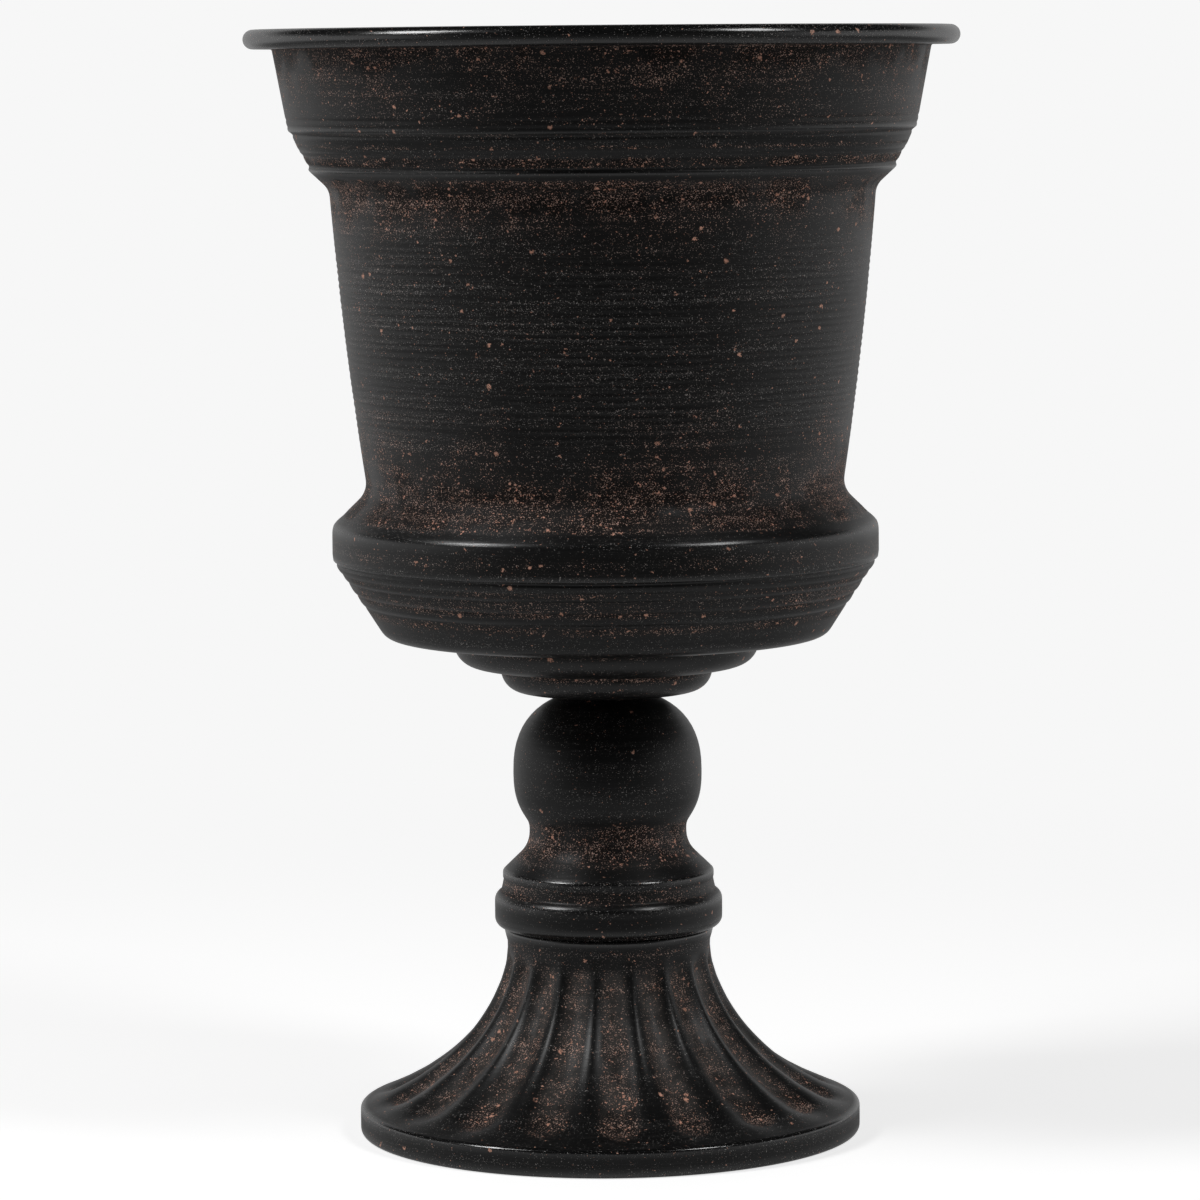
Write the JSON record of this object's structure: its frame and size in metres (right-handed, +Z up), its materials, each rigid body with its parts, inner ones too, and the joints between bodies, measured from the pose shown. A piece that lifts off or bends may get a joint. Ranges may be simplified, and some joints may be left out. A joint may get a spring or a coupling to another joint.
{
  "type": "urn planter",
  "caption": "Urn planter: a spun sheet-iron bowl with a rolled rim, on a ball stem and a fluted round foot, clamped together by a rod on the axis.",
  "frame": {"origin": "middle of the face that the foot ring rests on", "axes": "+Z up along the urn's own axis; the side that faces the picture's camera is -Y; +X is to the right in it"},
  "size_m": [0.2566, 0.2566, 0.4],
  "materials": {
    "black_coat": "satin black coat over sheet iron, speckled with rust brown in its recesses",
    "zinc_steel": "zinc plated steel, slightly dull",
    "plate_steel": "plain rolled steel, oiled",
    "black_rubber": "matt black rubber"
  },
  "bodies": {
    "root": {"bowl": "black_coat", "stem": "black_coat", "foot": "black_coat", "tie_rod": "zinc_steel", "top_nut": "zinc_steel", "top_washer": "zinc_steel", "sealing_washer": "black_rubber", "bowl_gasket": "black_rubber", "clamp_plate": "plate_steel", "spring_washer": "zinc_steel", "bottom_nut": "zinc_steel"}
  },
  "joints": []
}
